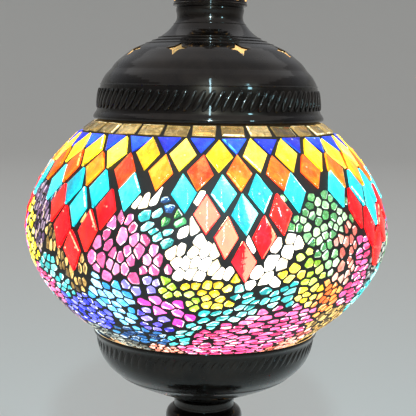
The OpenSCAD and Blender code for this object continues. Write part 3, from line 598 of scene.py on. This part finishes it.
same_gap = 0.00040
patch_gap = 0.00075
tile_gap = 0.0010
least_area = 3.2e-6
least_width = 0.00054
crushed = {}
crushed_shapes = []
for point, azimuth, height, colour, apart in seeds:
    here, along, up, out = on_glass(azimuth, height, tile_bed)
    sides = scatter.choice((5, 6, 7))
    start = scatter.uniform(0, 360)
    cell = []
    for k in range(sides):
        a = math.radians(start + (k + scatter.uniform(-0.25, 0.25)) * 360 / sides)
        # Opal pieces reach further, as part of the painted glare.
        reach = apart * scatter.uniform(0.62, 0.86) * (1.2 if colour == "opal" else 1)
        corner = unstretched(Vector((math.cos(a), math.sin(a))) * reach, colour)
        cell.append((corner.x, corner.y))
    # Opal pieces keep narrower gaps, as part of the painted glare.
    spread = scatter.uniform(0.8, 1.25) * (0.45 if colour == "opal" else 1)
    for other, i, distance in seed_tree.find_range(point, 0.016):
        if distance < 1e-6:
            continue
        flat = Vector(((other - here).dot(along), (other - here).dot(up)))
        if seeds[i][3] == colour:
            _, long, lean = broken[colour]
            c, s = math.cos(math.radians(lean)), math.sin(math.radians(lean))
            u, v = flat.x * c + flat.y * s, flat.y * c - flat.x * s
            facing = Vector((u / long * c - v * long * s, u / long * s + v * long * c)).normalized()
            cell = clip(cell, facing, facing.dot(flat) / 2 - same_gap * spread)
        else:
            cell = clip(cell, flat.normalized(), flat.length / 2 - patch_gap * spread)
    for _, i, _ in tile_tree.find_range(point, 0.022):
        away, side = outward_gap(point, tile_shapes[i])
        flat = Vector((-side.dot(along), -side.dot(up)))
        if flat.length > 1e-6:
            cell = clip(cell, flat.normalized(), away - tile_gap)
    if len(cell) < 3:
        continue
    rounded = []
    for (ax, ay), (bx, by) in zip(cell, cell[1:] + cell[:1]):
        cut = scatter.uniform(0.05, 0.2)
        rounded.append((ax + cut * (bx - ax), ay + cut * (by - ay)))
        rounded.append((bx + cut * (ax - bx), by + cut * (ay - by)))
    tidy = [q for q, before in zip(rounded, rounded[-1:] + rounded[:-1]) if math.dist(q, before) > 0.0002]
    if len(tidy) < 3:
        continue
    area = sum(a[0] * b[1] - a[1] * b[0] for a, b in zip(tidy, tidy[1:] + tidy[:1])) / 2
    around = sum(math.dist(a, b) for a, b in zip(tidy, tidy[1:] + tidy[:1]))
    if area < least_area or area / around < least_width:
        continue
    shape = [here + along * x + up * y for x, y in tidy]
    crushed.setdefault(colour, []).append(shape)
    crushed_shapes.append(shape)

crushed_glass = {
    # Opal glows brightest, cream to white, for the painted glare of the bulb.
    "opal": ("E8D8B0", "FFF6DC", "FFFFFF", 1.25),
    "rose": ("C04880", "E470AC", "F8A4CC", 0.85),
    "magenta": ("B82494", "E840BC", "FA80D8", 0.9),
    "pink": ("CC3070", "F4589A", "FF8CBC", 0.9),
    "salmon": ("C85A50", "E88C78", "FFC8B4", 0.8),
    "orange": ("D85A10", "FF8830", "FFB860", 0.9),
    "amber": ("5A4420", "9C7C3C", "FFDC8C", 0.7),
    "yellow": ("C8A800", "FFE020", "FFF68C", 1.0),
    "lime": ("7CA818", "BCE040", "E8FF90", 0.95),
    "green": ("2C7C40", "70BC78", "D8F4C8", 0.8),
    "green_deep": ("0C4420", "1C7C40", "50B878", 0.7),
    "teal": ("149090", "38C8C8", "B0F4F0", 0.85),
    "sky": ("1884D0", "40B4F4", "B4E8FF", 0.9),
    "royal": ("1420C0", "3C50F0", "8C8CFF", 0.9),
    "indigo": ("2824A0", "5848E0", "A898FF", 0.85),
    "navy": ("0C3870", "1C68A8", "60B0E0", 0.75),
    "lilac": ("7470CC", "9C98F0", "D4C8FC", 0.85),
    "violet": ("3C2A48", "70507C", "D8B8D0", 0.6),
    "slate": ("40484C", "788484", "D0D8D0", 0.6),
}
# Colours of the painted highlights on the ground edges of some crushed glass.
glint_tints = {"amber": "FFD880", "violet": "E8C8A0", "yellow": "FFF8A0", "lime": "F4FFB0", "slate": "E8DCC0",
              "orange": "FFD8A0"}
# Each colour of crushed glass glows with painted light for the bulb behind it.
for colour, shapes in sorted(crushed.items()):
    deep, body, pale, glow = crushed_glass[colour]
    pieces = flat_pieces("crushed_" + colour, shapes)
    thicken(pieces, 0.0008, [(0.0002, 0.00035), (0.00042, 0.0004)], 0.00025, 40, False)
    pieces.data.materials.append(
        stained_glass(colour + "_crushed_glass", deep, body, pale, glow, 0.8, streak_mm=3.0, rough=0.08,
                      seeded=False))
    pieces.data.materials.append(
        painted_glint_edge(colour + "_crushed_edge_glint", pale, glint_tints.get(colour, "FFFFFF"), glow * 1.5, 3.0))
    paint_glint_faces(pieces, shapes, 0.5, 42)
    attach(pieces, "globe")
    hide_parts("crushed_glass")

# ---------------------------------------------------------------- grout
# Black sanded cement grout, rubbed between the pieces and wiped back, so it lies a little lower than
# the glass. It is one skin with a hole for every tile and every crushed piece.
grout_low = 0.00005
grout_high = 0.0015
grout_top = 0.0845
grout_bottom = -0.0790
plane_r = 0.12


def to_plane(point):
    """Unrolls a point: azimuth across and length along the glass upwards."""
    azimuth = math.atan2(point.x, -point.y)
    height = point.z - equator_z
    steps = min(abs(height) / arc_step, len(arc_lengths) - 1.001)
    low = int(steps)
    length = arc_lengths[low] + (steps - low) * (arc_lengths[low + 1] - arc_lengths[low])
    return Vector((azimuth * plane_r, math.copysign(length, height)))


def from_plane(spot, stand_off):
    """Rolls a spot of the plane back over the glass."""
    length = abs(spot[1])
    reached = max(k for k, arc in enumerate(arc_lengths) if arc <= length)
    low = min(reached, len(arc_lengths) - 2)
    part = (length - arc_lengths[low]) / (arc_lengths[low + 1] - arc_lengths[low])
    height = math.copysign(arc_heights[low] + part * arc_step, spot[1])
    return on_glass(math.degrees(spot[0] / plane_r), height, stand_off)[0]


turn_round = 2 * math.pi * plane_r
margin = turn_round / 24
spots, holes = [], []
for shape in tile_shapes + crushed_shapes:
    centre = sum(shape, Vector()) / len(shape)
    mid = to_plane(centre).x
    outline = []
    for corner in shape:
        spot = to_plane(centre + (corner - centre) * 0.985)
        spot.x += turn_round * round((mid - spot.x) / turn_round)
        outline.append(spot)
    for shift in (-turn_round, 0, turn_round):
        if abs(mid + shift) < turn_round / 2 + margin:
            holes.append(list(range(len(spots), len(spots) + len(outline))))
            spots += [(s.x + shift, s.y) for s in outline]
for length in (to_plane(on_glass(0, grout_bottom)[0]).y, to_plane(on_glass(0, grout_top)[0]).y):
    for k in range(-98, 99):
        spots.append((k * turn_round / 180, length))
made = delaunay_2d_cdt([Vector(s) for s in spots], [], holes, 0, 1e-7)
flat_points, flat_faces, flat_origins = made[0], made[2], made[5]
grout_faces = [f for f, origin in zip(flat_faces, flat_origins)
               if not origin and abs(sum(flat_points[i].x for i in f) / len(f)) < turn_round / 2]
used = sorted({i for f in grout_faces for i in f})
renumber = {old: new for new, old in enumerate(used)}
grout_mesh = bpy.data.meshes.new("grout")
grout_mesh.from_pydata([from_plane(flat_points[i], grout_low) for i in used], [],
                       [[renumber[i] for i in f] for f in grout_faces])
grout = bpy.data.objects.new("grout", grout_mesh)
bpy.context.scene.collection.objects.link(grout)
bpy.ops.object.select_all(action="DESELECT")
grout.select_set(True)
bpy.context.view_layer.objects.active = grout
bpy.ops.object.mode_set(mode="EDIT")
bpy.ops.mesh.select_all(action="SELECT")
bpy.ops.mesh.remove_doubles(threshold=2e-6)
bpy.ops.mesh.normals_make_consistent(inside=False)
bpy.ops.object.mode_set(mode="OBJECT")
outwards = sum((f.normal.dot(f.center - Vector((0, 0, equator_z))) for f in grout_mesh.polygons))
wall = grout.modifiers.new("wall", "SOLIDIFY")
wall.thickness = grout_high - grout_low
wall.offset = 1 if outwards > 0 else -1
bpy.ops.object.modifier_apply(modifier="wall")
if outwards < 0:
    bpy.ops.object.mode_set(mode="EDIT")
    bpy.ops.mesh.select_all(action="SELECT")
    bpy.ops.mesh.flip_normals()
    bpy.ops.object.mode_set(mode="OBJECT")
bpy.ops.object.shade_smooth_by_angle(angle=math.radians(40))
cement, cement_surface = blank("black_sanded_grout")
cement_place = node(cement, "ShaderNodeTexCoord").outputs["Object"]
sand = node(cement, "ShaderNodeTexNoise", Vector=cement_place, Scale=1600.0, Detail=4.0)
cement_colour = node(cement, "ShaderNodeValToRGB", Fac=sand.outputs[0])
cement_colour.color_ramp.elements[0].color = srgb("0B0806")
cement_colour.color_ramp.elements[1].color = srgb("2A211A")
cement_bump = node(cement, "ShaderNodeBump", Height=sand.outputs[0], Strength=0.5, Distance=0.0004)
link(cement, cement_colour.outputs[0], cement_surface.inputs["Base Color"])
link(cement, cement_bump.outputs[0], cement_surface.inputs["Normal"])
cement_surface.inputs["Roughness"].default_value = 0.55
grout.data.materials.append(cement)
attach(grout, "globe")
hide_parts("tile_grout")

# ---------------------------------------------------------------- bulb
# A lit bulb: an opal glass envelope over a glass stem that holds two long filaments, cemented into a
# nickelled screw cap with a soldered centre contact.
def even_finish(name, dark, light, rough, cloud_mm, bump_mm, metallic=0.0, ior=1.5, detail=3.0):
    """A finish with a soft cloud of two close colours and a fine relief, both sized in millimetres."""
    material, surface = blank(name)
    place = node(material, "ShaderNodeTexCoord").outputs["Object"]
    cloud = node(material, "ShaderNodeTexNoise", Vector=place, Scale=1000 / cloud_mm, Detail=detail)
    ramp = node(material, "ShaderNodeValToRGB", Fac=cloud.outputs[0])
    ramp.color_ramp.elements[0].color = srgb(dark)
    ramp.color_ramp.elements[0].position = 0.3
    ramp.color_ramp.elements[1].color = srgb(light)
    ramp.color_ramp.elements[1].position = 0.7
    gloss = node(material, "ShaderNodeMapRange", Value=cloud.outputs[0], i1=0.3, i2=0.7, i3=rough * 0.85,
                 i4=rough * 1.2)
    fine = node(material, "ShaderNodeTexNoise", Vector=place, Scale=5000 / cloud_mm, Detail=2.0)
    relief = node(material, "ShaderNodeBump", Height=fine.outputs[0], Strength=0.4, Distance=bump_mm / 1000)
    link(material, ramp.outputs[0], surface.inputs["Base Color"])
    link(material, gloss.outputs[0], surface.inputs["Roughness"])
    link(material, relief.outputs[0], surface.inputs["Normal"])
    surface.inputs["Metallic"].default_value = metallic
    surface.inputs["IOR"].default_value = ior
    return material, surface


opal_bulb, opal_surface = even_finish("opal_bulb_glass", "FFEBC8", "FFF8EA", 0.25, 30, 0.02, 0.0, 1.5)
opal_surface.inputs["Emission Color"].default_value = srgb("FFE0A8")
opal_surface.inputs["Emission Strength"].default_value = 22.0
finish_cad("bulb_glass", opal_bulb)
finish_cad("bulb_stem", even_finish("stem_glass", "E8F0F0", "F8FFFF", 0.08, 12, 0.02)[0])
filament, filament_surface = even_finish("glowing_filament", "FFB050", "FFD890", 0.5, 4, 0.05)
filament_surface.inputs["Emission Color"].default_value = srgb("FFC070")
filament_surface.inputs["Emission Strength"].default_value = 6.0
finish_cad("bulb_filaments", filament)
nickel = even_finish("nickel_plated_cap", "B8B4AC", "D4D0C8", 0.22, 9, 0.03, 1.0)[0]
finish_cad("bulb_cap", nickel)
finish_cad("bulb_contact", even_finish("soft_solder", "8C8C8C", "B4B4B0", 0.38, 2.5, 0.1, 1.0)[0])

# ---------------------------------------------------------------- dark bronze metal
# Spun and turned brass, chemically darkened to an antique bronze and lacquered. It looks nearly black,
# a little brown where it is worn, with sharp cool highlights. Inside the shells the brass stays bare, and
# a glow in it stands for the light that falls on it.
def dark_bronze(name, bare_inside):
    """The darkened metal. With bare_inside, faces that look towards the axis are bare brass, with a painted glow
    for the light of the bulb on them.
    """
    material, surface = blank(name)
    coord = node(material, "ShaderNodeTexCoord")
    place = coord.outputs["Object"]
    cloud = node(material, "ShaderNodeTexNoise", Vector=place, Scale=45.0, Detail=5.0, Roughness=0.6)
    skin = node(material, "ShaderNodeValToRGB", Fac=cloud.outputs[0])
    skin.color_ramp.elements[0].color = srgb("120D0A")
    skin.color_ramp.elements[0].position = 0.35
    skin.color_ramp.elements[1].color = srgb("2C241E")
    skin.color_ramp.elements[1].position = 0.75
    gloss = node(material, "ShaderNodeMapRange", Value=cloud.outputs[0], i1=0.3, i2=0.7, i3=0.22, i4=0.36)
    if bare_inside:
        bare = node(material, "ShaderNodeValToRGB", Fac=cloud.outputs[0])
        bare.color_ramp.elements[0].color = srgb("C89A50")
        bare.color_ramp.elements[1].color = srgb("FFE6B0")
        flat = node(material, "ShaderNodeVectorMath", {"operation": "MULTIPLY"}, i0=place, i1=(1, 1, 0))
        facing = node(material, "ShaderNodeVectorMath", {"operation": "DOT_PRODUCT"}, i0=flat.outputs[0],
                      i1=coord.outputs["Normal"])
        inside = node(material, "ShaderNodeMath", {"operation": "LESS_THAN"}, i0=facing.outputs["Value"],
                      i1=-0.002)
        colour = node(material, "ShaderNodeMix", {"data_type": "RGBA"}, Factor=inside.outputs[0])
        link(material, skin.outputs[0], colour.inputs[6])
        link(material, bare.outputs[0], colour.inputs[7])
        link(material, colour.outputs[2], surface.inputs["Base Color"])
        # Painted light: the bare inside glows as if lit by the bulb.
        link(material, bare.outputs[0], surface.inputs["Emission Color"])
        link(material, inside.outputs[0], surface.inputs["Emission Strength"])
    else:
        link(material, skin.outputs[0], surface.inputs["Base Color"])
    lathe_mark = node(material, "ShaderNodeTexWave", {"bands_direction": "Z"}, Vector=place, Scale=160.0,
                      Distortion=0.4)
    relief = node(material, "ShaderNodeBump", Height=lathe_mark.outputs[1], Strength=0.012, Distance=0.0002)
    link(material, gloss.outputs[0], surface.inputs["Roughness"])
    link(material, relief.outputs[0], surface.inputs["Normal"])
    surface.inputs["Metallic"].default_value = 1.0
    surface.inputs["Coat Weight"].default_value = 0.5
    surface.inputs["Coat Roughness"].default_value = 0.05
    return material


bronze_shell = dark_bronze("antiqued_lacquered_bronze", True)
bronze = dark_bronze("antiqued_bronze_trim", False)
for name in ("base_shell", "cup_shell", "cap_shell", "gallery", "crown_dome"):
    finish_cad(name, bronze_shell)
for name in ("foot_bead", "lower_collar", "baluster", "upper_collar", "top_bead", "crown_collar", "finial"):
    finish_cad(name, bronze)


def outline_of(name):
    """Outer radius of a turned CAD piece against height, read off its points."""
    widest = {}
    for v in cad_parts[name].data.vertices:
        level = round(v.co.z * 5000)
        widest[level] = max(widest.get(level, 0), math.hypot(v.co.x, v.co.y))
    return sorted((level / 5000, r) for level, r in widest.items())


def radius_at(outline, z):
    """Radius of an outline at a height, between its nearest points."""
    for (z0, r0), (z1, r1) in zip(outline, outline[1:]):
        if z0 <= z <= z1:
            return r0 + (r1 - r0) * (z - z0) / (z1 - z0)
    return outline[-1][1]


def joined(made):
    """One smooth mesh out of several."""
    bpy.ops.object.select_all(action="DESELECT")
    for part in made:
        part.select_set(True)
    bpy.context.view_layer.objects.active = made[0]
    bpy.ops.object.join()
    bpy.ops.object.shade_smooth()
    return bpy.context.object


# ---------------------------------------------------------------- pressed flutes
# Slanted lobes are rolled into the cap, the cup and the base with a toothed wheel. They stand a little
# proud of the wall and lean the same way all round.
def flute_band(name, shell, body, z_low, z_high, count, lean, proud):
    """A ring of slanted lobes on a shell, each an egg shape half sunk in the wall."""
    outline = outline_of(shell)
    z = (z_low + z_high) / 2
    r = radius_at(outline, z)
    slope = math.atan2(radius_at(outline, z_high) - radius_at(outline, z_low), z_high - z_low)
    pitch = 2 * math.pi * r / count
    tall = (z_high - z_low) / 2 / math.cos(math.radians(lean))
    made = []
    for i in range(count):
        bpy.ops.mesh.primitive_uv_sphere_add(segments=10, ring_count=8, radius=1)
        lobe = bpy.context.object
        place = Matrix.Rotation(2 * math.pi * i / count, 4, "Z") @ Matrix.Translation((0, -r, z)) @ \
            Matrix.Rotation(slope, 4, "X") @ Matrix.Rotation(math.radians(lean), 4, "Y") @ \
            Matrix.Diagonal((pitch * 0.4, proud, tall, 1))
        lobe.data.transform(place)
        made.append(lobe)
    band = joined(made)
    band.name = name
    band.data.materials.clear()
    band.data.materials.append(bronze)
    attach(band, body)


flute_band("cap_flutes", "cap_shell", "cap", equator_z + 0.0835, equator_z + 0.0970, 80, 30, 0.0011)
flute_band("cup_flutes", "cup_shell", "stand", equator_z - 0.0865, equator_z - 0.0740, 76, 30, 0.0010)
flute_band("base_flutes", "base_shell", "stand", 0.0085, 0.0195, 96, 30, 0.0009)

# ---------------------------------------------------------------- lathe beads
# Fine raised rings, turned into the metal where one curve meets the next.
for name, shell, body, z_list in (
        ("cap_rings", "cap_shell", "cap",
         [equator_z + h / 1000 for h in (99.5, 110.5, 127.5, 129.6, 131.7, 133.8, 141.0)]),
        ("cup_rings", "cup_shell", "stand", [equator_z + h / 1000 for h in (-89, -101, -117, -119)]),
        ("base_rings", "base_shell", "stand", [0.0225, 0.0285, 0.0385, 0.0405])):
    outline = outline_of(shell)
    made = []
    for z in z_list:
        bpy.ops.mesh.primitive_torus_add(major_radius=radius_at(outline, z), minor_radius=0.0005,
                                         major_segments=120, minor_segments=8, location=(0, 0, 0))
        bead = bpy.context.object
        bead.data.transform(Matrix.Translation((0, 0, z)))
        made.append(bead)
    rings = joined(made)
    rings.name = name
    rings.data.materials.append(bronze)
    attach(rings, body)

# ---------------------------------------------------------------- base, weight and wiring
# A cast iron disc inside the spun base, a steel plate under it held by three screws, and a felt ring.
# The inner leads end in a screw block. The rubber bushing in the wall is for a mains cord.
finish_cad("base_felt", even_finish("pressed_wool_felt", "14120F", "2A2622", 0.95, 1.6, 0.5, 0.0, 1.5, 6.0)[0])
plated = even_finish("zinc_plated_steel", "8E9498", "B4B8BA", 0.3, 14, 0.04, 1.0)[0]
finish_cad("base_plate", plated)
finish_cad("plate_screws", plated)
finish_cad("base_weight", even_finish("sand_cast_iron", "2C2A29", "48443F", 0.62, 5, 0.5, 0.9)[0])
rubber = even_finish("moulded_rubber", "151414", "242322", 0.7, 7, 0.12)[0]
for name in ("cord_bushing", "cup_gasket", "cap_gasket"):
    finish_cad(name, rubber)
finish_cad("terminal_block", even_finish("moulded_white_nylon", "D8D6CE", "ECEAE2", 0.4, 8, 0.05)[0])
brass = even_finish("turned_brass", "A8803C", "D2AC60", 0.24, 10, 0.03, 1.0)[0]
for name in ("terminal_screws", "holder_contact", "holder_thread", "finial_bush"):
    finish_cad(name, brass)
finish_cad("inner_leads", even_finish("lead_insulation", "5C1C14", "8A3024", 0.45, 9, 0.04)[0])

# ---------------------------------------------------------------- stem hardware and lamp holder
# A threaded steel tube runs up the stem and pulls it together with nuts and washers. The holder on its
# top is moulded plastic round a porcelain insert with a brass screw shell.
for name in ("threaded_tube", "base_washer", "base_nut", "cup_washer", "cup_nut", "holder_screws", "tie_rod",
             "rod_washer", "rod_nut", "cap_spider"):
    finish_cad(name, plated)
plastic = even_finish("moulded_black_plastic", "121212", "1E1E1E", 0.34, 8, 0.05)[0]
for name in ("holder_cap", "holder_skirt", "holder_ring"):
    finish_cad(name, plastic)
finish_cad("holder_insert", even_finish("glazed_porcelain", "E4E0D6", "F6F4EE", 0.12, 16, 0.03)[0])
